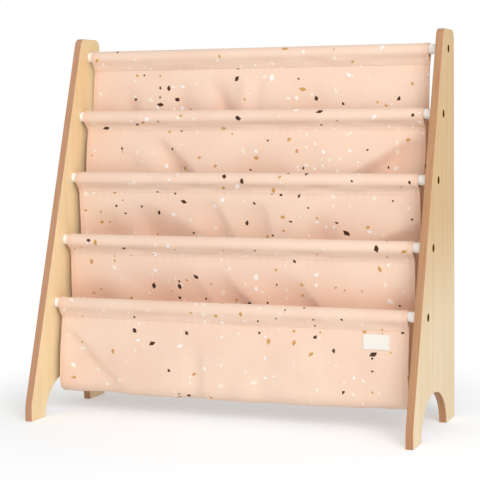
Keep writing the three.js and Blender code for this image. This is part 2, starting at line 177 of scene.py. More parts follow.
class Surface:
    """One material and short ways to add nodes to it."""

    def __init__(self, name):
        self.material = bpy.data.materials.new(name)
        self.material.use_nodes = True
        self.tree = self.material.node_tree
        self.shader = self.tree.nodes["Principled BSDF"]

    def set(self, **sockets):
        for name, value in sockets.items():
            self.shader.inputs[name.replace("_", " ")].default_value = value

    def drive(self, socket, output):
        self.tree.links.new(output, self.shader.inputs[socket])

    def node(self, kind, **settings):
        node = self.tree.nodes.new("ShaderNode" + kind)
        for name, value in settings.items():
            setattr(node, name, value)
        return node

    def feed(self, node, socket, value):
        if isinstance(value, bpy.types.NodeSocket):
            self.tree.links.new(value, node.inputs[socket])
        else:
            node.inputs[socket].default_value = value

    def math(self, operation, first, second=0.0, third=None):
        node = self.node("Math", operation=operation)
        self.feed(node, 0, first)
        self.feed(node, 1, second)
        if third is not None:
            self.feed(node, 2, third)
        return node.outputs[0]

    def vector(self, operation, first, second=None, scale=None):
        node = self.node("VectorMath", operation=operation)
        self.feed(node, 0, first)
        if second is not None:
            self.feed(node, 1, second)
        if scale is not None:
            self.feed(node, "Scale", scale)
        return node.outputs["Value" if operation in ("DOT_PRODUCT", "LENGTH") else "Vector"]

    def weigh(self, first, first_weight, second, second_weight, operation="ADD"):
        """The sum or difference of two values, each times its own weight."""
        first_part = self.math("MULTIPLY", first, first_weight)
        return self.math(operation, first_part, self.math("MULTIPLY", second, second_weight))

    def split(self, vector):
        node = self.node("SeparateXYZ")
        self.feed(node, 0, vector)
        return node.outputs

    def join(self, x, y, z=0.0):
        node = self.node("CombineXYZ")
        for index, value in enumerate((x, y, z)):
            self.feed(node, index, value)
        return node.outputs[0]

    def noise(self, vector, scale=1.0, detail=2.0, roughness=0.5, output="Fac"):
        node = self.node("TexNoise")
        self.feed(node, "Vector", vector)
        self.feed(node, "Scale", scale)
        self.feed(node, "Detail", detail)
        self.feed(node, "Roughness", roughness)
        return node.outputs[output]

    def fit(self, value, low, high, new_low=0.0, new_high=1.0, smooth=False):
        node = self.node("MapRange", interpolation_type="SMOOTHSTEP" if smooth else "LINEAR")
        for index, part in enumerate((value, low, high, new_low, new_high)):
            self.feed(node, index, part)
        return node.outputs[0]

    def blend(self, factor, first, second, mode="MIX"):
        node = self.node("Mix", data_type="RGBA", blend_type=mode)
        self.feed(node, "Factor", factor)
        self.feed(node, 6, first)
        self.feed(node, 7, second)
        return node.outputs[2]

    def bump(self, height, distance, strength=1.0, below=None):
        node = self.node("Bump")
        self.feed(node, "Height", height)
        self.feed(node, "Distance", distance)
        self.feed(node, "Strength", strength)
        if below is not None:
            self.feed(node, "Normal", below)
        return node.outputs[0]


# The camera and the stage

def make_camera():
    yaw, pitch, roll = CAMERA_YAW, CAMERA_PITCH, CAMERA_ROLL
    forward = Vector((
        -math.sin(yaw) * math.cos(pitch),
        math.cos(yaw) * math.cos(pitch),
        math.sin(pitch),
    ))
    level_right = Vector((math.cos(yaw), math.sin(yaw), 0))
    level_up = level_right.cross(forward)
    right = math.cos(roll) * level_right + math.sin(roll) * level_up
    up = math.cos(roll) * level_up - math.sin(roll) * level_right
    turn = Matrix((right, up, -forward)).transposed()

    data = bpy.data.cameras.new("camera")
    data.sensor_width = SENSOR
    data.lens = FOCAL_PIXELS / PICTURE_PIXELS * SENSOR
    data.shift_y = (AXIS_ROW - PICTURE_PIXELS / 2) / PICTURE_PIXELS
    camera = bpy.data.objects.new("camera", data)
    camera.matrix_world = Matrix.Translation(CAMERA_PLACE) @ turn.to_4x4()
    bpy.context.scene.collection.objects.link(camera)
    bpy.context.scene.camera = camera


LAMPS = [
    {"name": "key", "place": (1.8, -2.2, 1.6), "size": (1.6, 1.6), "power": 32},
    {"name": "fill", "place": (1.4, -2.5, 1.25), "size": (1.6, 1.2), "power": 19},
]
LAMP_COLOR = (1, 0.99, 0.98)
LAMP_TARGET = Vector((0, 0, 0.25))


def make_lamp(name, place, size, power):
    data = bpy.data.lights.new(name, "AREA")
    data.shape = "RECTANGLE"
    data.size, data.size_y = size
    data.energy = power
    data.color = LAMP_COLOR
    lamp = bpy.data.objects.new(name, data)
    lamp.location = place
    lamp.rotation_euler = (LAMP_TARGET - Vector(place)).to_track_quat("-Z", "Y").to_euler()
    lamp.visible_camera = False
    bpy.context.scene.collection.objects.link(lamp)


WORLD_LIGHT = 0.58
WORLD_COLOR = (1, 0.985, 0.965, 1)


def either(tree, first, second):
    node = tree.nodes.new("ShaderNodeMath")
    node.operation = "MAXIMUM"
    tree.links.new(first, node.inputs[0])
    tree.links.new(second, node.inputs[1])
    return node.outputs[0]


def make_world():
    """Even soft light from all round; the camera and mirrors see plain white."""
    world = bpy.data.worlds.new("studio")
    world.use_nodes = True
    bpy.context.scene.world = world
    tree = world.node_tree
    background = tree.nodes["Background"]
    background.inputs["Color"].default_value = WORLD_COLOR
    background.inputs["Strength"].default_value = WORLD_LIGHT
    white = tree.nodes.new("ShaderNodeBackground")
    white.inputs["Color"].default_value = (1, 1, 1, 1)
    white.inputs["Strength"].default_value = 1
    rays = tree.nodes.new("ShaderNodeLightPath")
    seen = either(tree, rays.outputs["Is Camera Ray"], rays.outputs["Is Glossy Ray"])
    seen = either(tree, seen, rays.outputs["Is Transmission Ray"])
    mix = tree.nodes.new("ShaderNodeMixShader")
    tree.links.new(seen, mix.inputs["Fac"])
    tree.links.new(background.outputs[0], mix.inputs[1])
    tree.links.new(white.outputs[0], mix.inputs[2])
    tree.links.new(mix.outputs[0], tree.nodes["World Output"].inputs["Surface"])


FLOOR_HALF = 6.0
FLOOR_PAPER = (0.95, 0.98, 0.995, 1)
FLOOR_TINT = (0.92, 1, 1.12, 1)
FLOOR_GLOW = 0.17  # what the camera sees of the floor where no light reaches it
SHADOW_REACH = (0.28, 0.66)  # from the rack's middle, where the floor starts to turn white and is


def make_floor():
    """A plain white floor that keeps the rack's soft shadow and ends in a white backdrop."""
    mesh = bpy.data.meshes.new("floor")
    h = FLOOR_HALF
    mesh.from_pydata([(-h, -h, 0), (h, -h, 0), (h, h, 0), (-h, h, 0)], [], [(0, 1, 2, 3)])
    floor = bpy.data.objects.new("floor", mesh)
    bpy.context.scene.collection.objects.link(floor)

    paper = Surface("floor_paper")
    paper.set(Base_Color=FLOOR_PAPER, Roughness=1, Specular_IOR_Level=0)
    rays = paper.node("LightPath").outputs
    seen = paper.math("MAXIMUM", rays["Is Camera Ray"], rays["Is Glossy Ray"])
    distance = paper.vector("LENGTH", paper.node("TexCoord").outputs["Object"])
    far = paper.fit(distance, *SHADOW_REACH, smooth=True)
    glow = paper.node("Emission")
    paper.feed(glow, "Color", FLOOR_TINT)
    paper.feed(glow, "Strength", paper.math("MULTIPLY", seen, FLOOR_GLOW))
    lit = paper.node("AddShader")
    paper.feed(lit, 0, paper.shader.outputs[0])
    paper.feed(lit, 1, glow.outputs[0])
    white = paper.node("Emission")
    ends = paper.node("MixShader")
    paper.feed(ends, 0, paper.math("MULTIPLY", seen, far))
    paper.feed(ends, 1, lit.outputs[0])
    paper.feed(ends, 2, white.outputs[0])
    paper.feed(paper.tree.nodes["Material Output"], "Surface", ends.outputs[0])
    mesh.materials.append(paper.material)


# Materials

# Each board's colours: near its foot, towards its top and on its cut edges, and the heights between
# which the foot's colour goes over to the top's. Painted light: each face is lighter near its foot,
# and the two boards differ, for how light falls on them.
LEFT_BOARD_WITH_PAINTED_LIGHT = {
    "foot": linear(250, 226, 181),
    "top": linear(243, 212, 160),
    "edge": linear(203, 155, 121),
    "dark_edge": linear(178, 130, 96),
    "heights": (0.34, 0.56),
}
RIGHT_BOARD_WITH_PAINTED_LIGHT = {
    "foot": linear(245, 222, 184),
    "top": linear(222, 185, 129),
    "edge": linear(190, 144, 105),
    "dark_edge": linear(168, 120, 83),
    "heights": (0.12, 0.34),
}
GRAIN_TINT = linear(196, 150, 98)

# The grain of the faces: its lines in a metre across and up the board, the detail of its
# noise, and the span of the noise that shows and how strongly it does
FIGURE = {"lines": (70, 2.5), "detail": 3, "span": (0.4, 0.75), "strength": 0.16}
FIBRE = {"lines": (520, 9), "detail": 2, "span": (0.5, 0.75), "strength": 0.14}
PORES = {"lines": (1500, 55), "detail": 1, "span": (0.66, 0.78), "strength": 0.22}
GRAIN_ROUGHNESS = 0.55
GRAIN_SWAY = 0.05
GRAIN_SWAY_SCALE = 3
PLY_LINES = (900, 6)  # of the cut edges, in a metre across the board and along it
PLY_SLOPE = (5.6, 14)
PLY_SPAN = (0.3, 0.72)
WEAR_SCALE = 160
WEAR_DEPTH = 0.25
WEAR_SPAN = (0.45, 0.8)  # how far a surface faces sideways where edge goes over to face


def maple(name, board):
    """Varnished maple with upright grain; its cut edges are tan, close grained and worn pale."""
    wood = Surface(name)
    place = wood.node("TexCoord").outputs["Object"]
    x, y, z = wood.split(place)
    sway = wood.math("MULTIPLY", wood.noise(place, GRAIN_SWAY_SCALE, detail=1), GRAIN_SWAY)
    swayed = wood.math("ADD", y, sway)

    def grain(kind):
        across, up = kind["lines"]
        stretched = wood.join(x, wood.math("MULTIPLY", swayed, across), wood.math("MULTIPLY", z, up))
        return wood.noise(stretched, detail=kind["detail"], roughness=GRAIN_ROUGHNESS)

    figure, fibre, pores = grain(FIGURE), grain(FIBRE), grain(PORES)
    # painted light: the face goes from the lighter foot colour up to the darker top colour
    face = wood.blend(wood.fit(z, *board["heights"], smooth=True), board["foot"], board["top"])
    shown = (figure, FIGURE, GRAIN_TINT), (fibre, FIBRE, GRAIN_TINT), (pores, PORES, board["edge"])
    for lines, kind, tint in shown:
        face = wood.blend(wood.fit(lines, *kind["span"], new_high=kind["strength"]), face, tint)

    along = wood.math("MULTIPLY_ADD", y, PLY_SLOPE[0], wood.math("MULTIPLY", z, PLY_SLOPE[1]))
    across, back = wood.math("MULTIPLY", x, PLY_LINES[0]), wood.math("MULTIPLY", y, PLY_LINES[1])
    plies = wood.noise(wood.join(across, back, along), detail=3, roughness=0.6)
    edge = wood.blend(wood.fit(plies, *PLY_SPAN), board["edge"], board["dark_edge"])

    facing = wood.math("ABSOLUTE", wood.split(wood.node("TexCoord").outputs["Normal"])[0])
    wear = wood.math("SUBTRACT", wood.noise(place, WEAR_SCALE), 0.5)
    limit = wood.math("MULTIPLY_ADD", wear, WEAR_DEPTH, facing)
    wood.drive("Base Color", wood.blend(wood.fit(limit, *WEAR_SPAN), edge, face))
    wood.drive("Roughness", wood.fit(figure, 0.3, 0.7, new_low=0.42, new_high=0.52))
    wood.drive("Normal", wood.bump(wood.math("ADD", fibre, pores), distance=0.00012, strength=0.5))
    wood.set(Specular_IOR_Level=0.4)
    return wood.material


def rod_paint():
    """White powder coat, faintly pebbled."""
    paint = Surface("white_powder_coat")
    place = paint.node("TexCoord").outputs["Object"]
    pebble = paint.noise(place, scale=1400)
    patch = paint.noise(place, scale=45, detail=1)
    paint.drive("Base Color", paint.blend(patch, linear(255, 255, 254), linear(251, 251, 250)))
    paint.drive("Roughness", paint.fit(patch, 0.3, 0.7, new_low=0.26, new_high=0.34))
    paint.set(Specular_IOR_Level=0.7)
    paint.drive("Normal", paint.bump(pebble, distance=0.00005, strength=0.4))
    return paint.material


def plug_nylon():
    """Off-white moulded nylon, faintly grained."""
    nylon = Surface("moulded_nylon")
    place = nylon.node("TexCoord").outputs["Object"]
    grain = nylon.noise(place, scale=900)
    nylon.drive("Base Color", nylon.blend(grain, linear(222, 222, 216), linear(205, 205, 198)))
    nylon.drive("Normal", nylon.bump(grain, distance=0.00004, strength=0.4))
    nylon.set(Roughness=0.55)
    return nylon.material


BRONZE_GLANCE = (0.4, 0.3, 0.18, 1)  # plating that has dulled keeps its colour at a glance


def bolt_bronze():
    """Bronze plated steel: dull and bright patches, and a fine tooth."""
    bronze = Surface("bronze_plate")
    place = bronze.node("TexCoord").outputs["Object"]
    patch = bronze.noise(place, scale=420, detail=3)
    tooth = bronze.noise(place, scale=2600)
    tint = bronze.blend(bronze.fit(patch, 0.35, 0.65), linear(122, 92, 54), linear(88, 62, 32))
    bronze.drive("Base Color", tint)
    bronze.drive("Roughness", bronze.fit(patch, 0.3, 0.7, new_low=0.34, new_high=0.55))
    bronze.drive("Normal", bronze.bump(tooth, distance=0.00004, strength=0.5))
    bronze.set(Metallic=1.0, Specular_Tint=BRONZE_GLANCE)
    return bronze.material


CANVAS = linear(248, 218, 197)
CANVAS_WARM = linear(249, 222, 201)
CANVAS_ROSE = linear(246, 211, 190)
TONE_SCALE = 9
# painted shade: the tint that darkens the cloth deep in a pocket or in a fold
PAINTED_SHADE_TINT = (1, 0.86, 0.79, 1)  # what the cloth keeps of its colour deep in a pocket or a fold
# painted shade: the side hems are darker because their two layers let less light through
HEM_PAINTED_SHADE = (0.98, 0.94, 0.93, 1)  # what it keeps where its two layers let less light through
THREAD_PITCH = 0.00062
SLUB_LINES = (1600, 30)  # in a metre across a thread and along it
# partly painted shade in the weave's hollows, partly uneven tone along the slubs, darkest to lightest
WEAVE_PAINTED_SHADE_RANGE = (0.93, 1.03)
RIB_PITCH = 0.0005
FLOAT_LINES = (300, 3000, 0)  # of the label's satin, in a metre
CANVAS_THREAD = linear(251, 228, 210)
LABEL_THREAD = linear(240, 236, 228)
# painted shade between a sewing thread's strands
STRAND_SHADE = 0.86  # what a sewing thread keeps of its colour between its strands

# Printed chips: cells of the print that hold at most one chip, the share of them that do,
# and the chip's half width from smallest to largest
CHIPS = [
    {"seed": 3.1, "cell": 0.0132, "share": 0.075, "half": (0.0011, 0.0027), "color": (252, 238, 222)},
    {"seed": 17.7, "cell": 0.0141, "share": 0.05, "half": (0.0012, 0.0029), "color": (255, 250, 246)},
    {"seed": 31.3, "cell": 0.0137, "share": 0.052, "half": (0.0012, 0.0026), "color": (212, 162, 92)},
    {"seed": 53.9, "cell": 0.0149, "share": 0.057, "half": (0.0012, 0.0029), "color": (78, 50, 36)},
]
CHIP_SCATTER = 0.8
CHIP_SKEWS = (0.9, 0.3, -0.3)  # how far each of its three sides may turn from an even triangle's
CHIP_CORNERS = 0.72  # how close to a chip's middle its corners are cut off
CHIP_WAVER = 0.0004
CHIP_WAVER_SCALE = 420


def chip_mask(canvas, flat, chip):
    """1 inside a layer's chips: each a cut-off triangle with its own turn, size and length."""
    spot = canvas.vector("SCALE", flat, scale=1 / chip["cell"])
    spot = canvas.vector("ADD", spot, (chip["seed"], 2 * chip["seed"], 0))
    cells = canvas.node("TexVoronoi", voronoi_dimensions="2D", feature="F1")
    canvas.feed(cells, "Vector", spot)
    canvas.feed(cells, "Scale", 1.0)
    canvas.feed(cells, "Randomness", CHIP_SCATTER)
    local = canvas.vector("SUBTRACT", spot, cells.outputs["Position"])
    local = canvas.vector("SCALE", local, scale=chip["cell"])
    chance, turn, size = canvas.split(cells.outputs["Color"])
    angle = canvas.math("MULTIPLY", turn, math.tau)
    across, up, _ = canvas.split(local)
    sine, cosine = canvas.math("SINE", angle), canvas.math("COSINE", angle)
    along = canvas.weigh(across, cosine, up, sine)
    aside = canvas.weigh(up, cosine, across, sine, "SUBTRACT")
    along = canvas.math("MULTIPLY", along, canvas.fit(turn, 0, 1, new_low=0.5, new_high=1))
    far = canvas.vector("LENGTH", canvas.join(along, aside))
    reach = canvas.math("MULTIPLY", far, CHIP_CORNERS)
    for side, skew_share in enumerate(CHIP_SKEWS):
        lean = math.tau * side / len(CHIP_SKEWS)
        skew = canvas.math("ADD", lean, canvas.math("MULTIPLY", size, skew_share))
        sine, cosine = canvas.math("SINE", skew), canvas.math("COSINE", skew)
        reach = canvas.math("MAXIMUM", reach, canvas.weigh(along, cosine, aside, sine))
    half = canvas.fit(canvas.math("MULTIPLY", size, size), 0, 1, *chip["half"])
    inside = canvas.math("LESS_THAN", reach, half)
    chosen = canvas.math("LESS_THAN", chance, chip["share"])
    return canvas.math("MULTIPLY", inside, chosen)


def woven(canvas, flat):
    """Height of a plain weave, and of the slubs in its threads."""
    u, v, _ = canvas.split(flat)
    turn = math.pi / THREAD_PITCH
    warp_wave = canvas.math("SINE", canvas.math("MULTIPLY", u, turn))
    weft_wave = canvas.math("SINE", canvas.math("MULTIPLY", v, turn))
    weave = canvas.math("ABSOLUTE", canvas.math("MULTIPLY", warp_wave, weft_wave))
    across, along = SLUB_LINES
    warp = canvas.noise(canvas.vector("MULTIPLY", flat, (across, along, 0)), detail=1)
    weft = canvas.noise(canvas.vector("MULTIPLY", flat, (along, across, 0)), detail=1)
    return weave, canvas.math("ADD", warp, weft)


def printed_color(canvas, flat):
    """The cloth's uneven ground with its printed chips, whose edges waver with the threads."""
    tone = canvas.noise(flat, TONE_SCALE)
    color = canvas.blend(canvas.fit(tone, 0.35, 0.65, smooth=True), CANVAS_WARM, CANVAS_ROSE)
    color = canvas.blend(0.5, color, CANVAS)
    waver = canvas.noise(flat, CHIP_WAVER_SCALE, detail=1, output="Color")
    drift = canvas.vector("SUBTRACT", waver, (0.5, 0.5, 0.5))
    printed = canvas.vector("ADD", flat, canvas.vector("SCALE", drift, scale=2 * CHIP_WAVER))
    for chip in CHIPS:
        color = canvas.blend(chip_mask(canvas, printed, chip), color, linear(*chip["color"]))
    return color


def canvas_cloth():
    """Blush cotton canvas in plain weave, printed with scattered chips."""
    canvas = Surface("terrazzo_canvas")
    flat = canvas.node("UVMap", uv_map="cloth").outputs[0]
    weave, slubs = woven(canvas, flat)
    color = printed_color(canvas, flat)
    # partly painted shade: the colour is darker in the weave's hollows, and uneven along the slubs
    threads = canvas.fit(canvas.math("ADD", weave, slubs), 0.6, 2.2, *WEAVE_PAINTED_SHADE_RANGE)
    color = canvas.blend(1.0, color, threads, "MULTIPLY")

    across = canvas.split(canvas.node("TexCoord").outputs["Object"])[0]
    offset = canvas.math("SUBTRACT", across, (CLOTH_LEFT + CLOTH_RIGHT) / 2)
    # painted shade on the side hems, where the cloth is doubled
    hem_start = CLOTH_WIDTH / 2 - HEM_WIDTH
    painted_hem_shade = canvas.fit(canvas.math("ABSOLUTE", offset), hem_start - RIM, hem_start + RIM)
    color = canvas.blend(painted_hem_shade, color, canvas.blend(1.0, color, HEM_PAINTED_SHADE, "MULTIPLY"))
    # painted shade: the colour turns darker and pinker where the cloth lies deep in a pocket or in a
    # fold
    painted_shade = canvas.node("Attribute", attribute_name="painted_shade").outputs["Fac"]
    color = canvas.blend(painted_shade, color, canvas.blend(1.0, color, PAINTED_SHADE_TINT, "MULTIPLY"))

    canvas.drive("Base Color", color)
    low = canvas.bump(slubs, distance=0.00012, strength=0.5)
    canvas.drive("Normal", canvas.bump(weave, distance=0.00016, strength=0.6, below=low))
    canvas.set(Roughness=0.92, Specular_IOR_Level=0.2, Sheen_Weight=0.2, Sheen_Roughness=0.5)
    return canvas.material


def label_satin():
    """Blank woven satin label with fine ribs."""
    satin = Surface("label_satin")
    flat = satin.node("UVMap", uv_map="cloth").outputs[0]
    ribs = satin.math("SINE", satin.math("MULTIPLY", satin.split(flat)[1], math.tau / RIB_PITCH))
    floats = satin.noise(satin.vector("MULTIPLY", flat, FLOAT_LINES), detail=1)
    satin.drive("Base Color", satin.blend(floats, linear(243, 240, 234), linear(235, 231, 223)))
    satin.drive("Normal", satin.bump(satin.math("ADD", ribs, floats), distance=0.00006, strength=0.4))
    satin.set(Roughness=0.6, Specular_IOR_Level=0.35, Sheen_Weight=0.2)
    return satin.material


def sewing_thread(name, color):
    """Twisted cotton thread, with painted shade between its strands."""
    thread = Surface(name)
    place = thread.node("TexCoord").outputs["Object"]
    twist = thread.noise(place, scale=3200, detail=1)
    dark = tuple(channel * STRAND_SHADE for channel in color[:3]) + (1,)
    thread.drive("Base Color", thread.blend(twist, color, dark))
    thread.drive("Normal", thread.bump(twist, distance=0.00005, strength=0.5))
    thread.set(Roughness=0.7, Sheen_Weight=0.2)
    return thread.material


# The cloth's form

def smooth(value):
    t = np.clip(value, 0, 1)
    return t * t * (3 - 2 * t)


def near(values, place, reach):
    return np.exp(-((values - place) / reach) ** 2)


class Dip:
    """A soft hollow: its middle starts at a share of the cloth's width and drifts by its slant."""

    reach = DIP_REACH

    def __init__(self, at, slant, start, width, depth):
        self.at, self.slant, self.start = at, slant, start
        self.width, self.depth = width, depth

    def middle(self, slide):
        return CLOTH_LEFT + self.at * CLOTH_WIDTH + self.slant * slide

    def shape(self, x, slide):
        return near(x, self.middle(slide), self.width)

    def fall(self, x, slide):
        """How far it lets the cloth fall back."""
        return self.depth * smooth((slide - self.start) / self.reach) * self.shape(x, slide)


class Dart(Dip):
    """A crease: flat on one side of its ridge, with a hollow under the other side that widens
    by its spread on the way down and comes back slowly over its back width. A soft one has
    no edge at its ridge."""

    reach = DART_REACH

    def __init__(self, at, slant, start, width, depth, spread, back, soft=0):
        super().__init__(at, slant, start, width, depth)
        self.spread, self.back, self.soft = spread, back, soft

    def shape(self, x, slide):
        under = (self.middle(slide) - x) * (1 if self.slant >= 0 else -1)
        wide = self.width + self.spread * np.maximum(slide, 0)
        share = (under + np.sqrt(under * under + RIDGE_ROUND**2)) / 2 / wide
        beyond = np.maximum(share - 1, 0) * wide
        share = np.minimum(share, 1)
        steep = share * (2 - share)
        return (steep + self.soft * (smooth(share) - steep)) * near(beyond, 0, self.back)


# The folds of each wall, from the highest rod down; a fold starts so far below its stitch line
FOLDS = [
    [
        Dip(at=0.11, slant=0.1, start=0.01, width=0.013, depth=0.005),
        Dip(at=0.27, slant=0.1, start=0, width=0.02, depth=0.005),
        Dip(at=0.405, slant=0, start=0.01, width=0.018, depth=0.006),
        Dip(at=0.355, slant=0.5, start=-0.01, width=0.012, depth=0.002),
        Dip(at=0.47, slant=0, start=-0.02, width=0.011, depth=-0.0025),
        Dip(at=0.515, slant=0, start=-0.02, width=0.01, depth=0.0015),
        Dip(at=0.67, slant=0.15, start=0.01, width=0.03, depth=0.003),
    ],
    [
        Dart(at=0.232, slant=1, start=-0.02, width=0.012, depth=0.0075,
             spread=0.4, back=0.022, soft=1),
        Dip(at=0.29, slant=0, start=0.02, width=0.02, depth=0.005),
        Dart(at=0.992, slant=-1.65, start=-0.01, width=0.01, depth=0.0145,
             spread=0.5, back=0.05, soft=0.4),
        Dip(at=0.13, slant=0, start=0.01, width=0.03, depth=0.005),
        Dip(at=0.51, slant=0.1, start=0.01, width=0.05, depth=0.007),
    ],
    [
        Dip(at=0.1, slant=0, start=0.018, width=0.036, depth=0.011),
        Dart(at=0.197, slant=1.65, start=0.005, width=0.008, depth=0.012,
             spread=1.3, back=0.024, soft=0.8),
        Dart(at=0.408, slant=0.54, start=-0.02, width=0.006, depth=0.006, spread=0.3, back=0.03),
        Dart(at=0.56, slant=0.2, start=-0.01, width=0.012, depth=0.0065, spread=0.2, back=0.04),
        Dip(at=0.715, slant=0.05, start=0.018, width=0.028, depth=0.007),
        Dart(at=1.15, slant=-2.3, start=0.02, width=0.014, depth=0.009,
             spread=0.5, back=0.05, soft=0.7),
    ],
    [
        Dip(at=0.075, slant=0.1, start=0.028, width=0.028, depth=0.009),
        Dip(at=0.265, slant=0.1, start=0.018, width=0.046, depth=0.0085),
        Dart(at=0.345, slant=0.67, start=0.005, width=0.006, depth=0.005, spread=0.25, back=0.03),
        Dart(at=0.435, slant=0.9, start=0.012, width=0.008, depth=0.0085, spread=0.32, back=0.04),
        Dart(at=0.63, slant=0.885, start=0.012, width=0.01, depth=0.0068, spread=0.3, back=0.05),
        Dip(at=0.95, slant=0, start=0.03, width=0.03, depth=0.008),
    ],
    [
        Dart(at=0.012, slant=1.05, start=-0.03, width=0.02, depth=0.005,
             spread=0.06, back=0.04, soft=1),
        Dip(at=0, slant=0, start=-0.06, width=0.03, depth=-0.005),
        Dart(at=0.425, slant=0.03, start=0.01, width=0.01, depth=0.0045, spread=0.03, back=0.02),
        Dip(at=0.57, slant=0.15, start=0.05, width=0.02, depth=0.004),
        Dip(at=0.87, slant=0, start=0, width=0.016, depth=0.002),
        Dip(at=0.72, slant=0, start=0.01, width=0.04, depth=-0.002),
    ],
]


def fold_depth(level, x, drop):
    """How far the folds let the wall below a rod fall back."""
    lowest = level == LEVELS - 1
    slide = np.minimum(drop, POCKET_DROP if lowest else PITCH) - SEAM_DROP
    depth = sum(fold.fall(x, slide) for fold in FOLDS[level])
    fade = 1 - (1 - FOOT_FADE_SHARE) * smooth((drop - PITCH) / POCKET_DROP)
    return depth * fade * smooth((drop - SEAM_DROP) / SEAM_CALM)


def wall_lean(level, drop):
    """How far the wall below a rod leans forwards."""
    upper = np.clip((drop - SEAM_DROP) / (PITCH - SEAM_DROP), 0, 1)
    lower = smooth((drop - PITCH) / POCKET_DROP)
    return STEP * (MOUTH_LEANS[level] * upper * (2 - upper) + FOOT_LEANS[level] * lower)


def pucker(level, x, drop):
    """The small even waves that a line of stitches draws into the cloth."""
    phase = PUCKER_PHASE * level
    drift = PUCKER_DRIFT * np.sin(PUCKER_DRIFT_RATE * x + phase)
    wave = np.sin(math.tau * x / PUCKER_PITCH + phase + drift)
    return wave * PUCKER_DEPTH * near(drop, SEAM_DROP, PUCKER_REACH)


def wall_y(level, x, drop):
    """Depth of the middle of the wall that hangs from a rod."""
    seam_y = AXES[level][0] + SEAM_SETBACKS[level]
    return seam_y - wall_lean(level, drop) + fold_depth(level, x, drop) - pucker(level, x, drop)


def front_points(level, x, drop, lowest):
    """Middle of a pocket's front: the wall itself on the lowest pocket, or just behind it."""
    y = wall_y(level, x, drop)
    z = AXES[level][1] - drop + 0 * x
    if lowest:
        return y, z
    below, above = wall_y(level, x, drop + SLOPE_STEP), wall_y(level, x, drop - SLOPE_STEP)
    slope = (below - above) / (2 * SLOPE_STEP)
    away = CAD_CLOTH + SEAT_GAP + HANG_GAP * smooth((drop - SEAM_DROP) / HANG_REACH)
    length = np.sqrt(1 + slope * slope)
    return y + away / length, z + away * slope / length


def spaced(start, end, step):
    return np.linspace(start, end, max(2, round(abs(end - start) / step) + 1))


def lengths_along(line):
    """Length from the start of a line of points to each of them."""
    return np.concatenate([[0], np.cumsum(np.linalg.norm(np.diff(line, axis=0), axis=1))])


def tangent_angles(point, centre):
    """Where the two straight lines from a point touch a sleeve's loop: at its front and back."""
    way = point - centre
    heading = math.atan2(way[1], way[0])
    touch = math.acos(SLEEVE_RADIUS / np.linalg.norm(way))
    return heading - touch, heading + touch


def soft_corner(start, corner, end):
    """Points from start to end by way of a rounded corner, closer together at the start."""
    first = start + CORNER_SHARE * (corner - start)
    second = end + CORNER_SHARE * (corner - end)
    t = np.linspace(0, 1, CORNER_SAMPLES)[:, None]
    fine = (1 - t) ** 2 * ((1 - t) * start + 3 * t * first) + t**2 * (3 * (1 - t) * second + t * end)
    lengths = lengths_along(fine)
    places = np.concatenate([RIM_PLACES, [2 * RIM], spaced(3 * RIM, lengths[-1], SLEEVE_STEP)[:-1]])
    return np.stack([np.interp(places, lengths, fine[:, side]) for side in (0, 1)], 1)


def sleeve_points(level, x, front_first):
    """Middle of the loop round a rod, from its stitch line and back to it."""
    axis_y, axis_z = AXES[level]
    centre = np.array([axis_y, axis_z - SLEEVE_SAG])
    seam = np.array([axis_y + SEAM_SETBACKS[level], axis_z - SEAM_DROP])
    front_end = seam - np.array([CLOTH + TAB_GAP, 0])
    corner = front_end + np.array([0, CORNER_RISES[level]])
    front, back = tangent_angles(corner, centre)[0], tangent_angles(seam, centre)[1]
    angles = spaced(front, back - math.tau, SLEEVE_STEP / SLEEVE_RADIUS)
    ring = centre + SLEEVE_RADIUS * np.stack([np.cos(angles), np.sin(angles)], 1)
    head = soft_corner(front_end, corner, ring[0])
    tail = soft_corner(seam, seam, ring[-1])[:0:-1]
    line = np.concatenate([head, ring, tail])
    if not front_first:
        line = line[::-1]
    y, z = line[None, :, 0], line[None, :, 1]
    return y - pucker(level, x, axis_z - z), z + 0 * x


def across_places():
    """Places across the cloth, closer together at its side hems."""
    edge = np.concatenate([RIM_PLACES, HEM_PLACES])
    inner = spaced(edge[-1] + ACROSS_STEP, CLOTH_WIDTH - edge[-1] - ACROSS_STEP, ACROSS_STEP)
    return CLOTH_LEFT + np.concatenate([edge, inner, CLOTH_WIDTH - edge[::-1]])


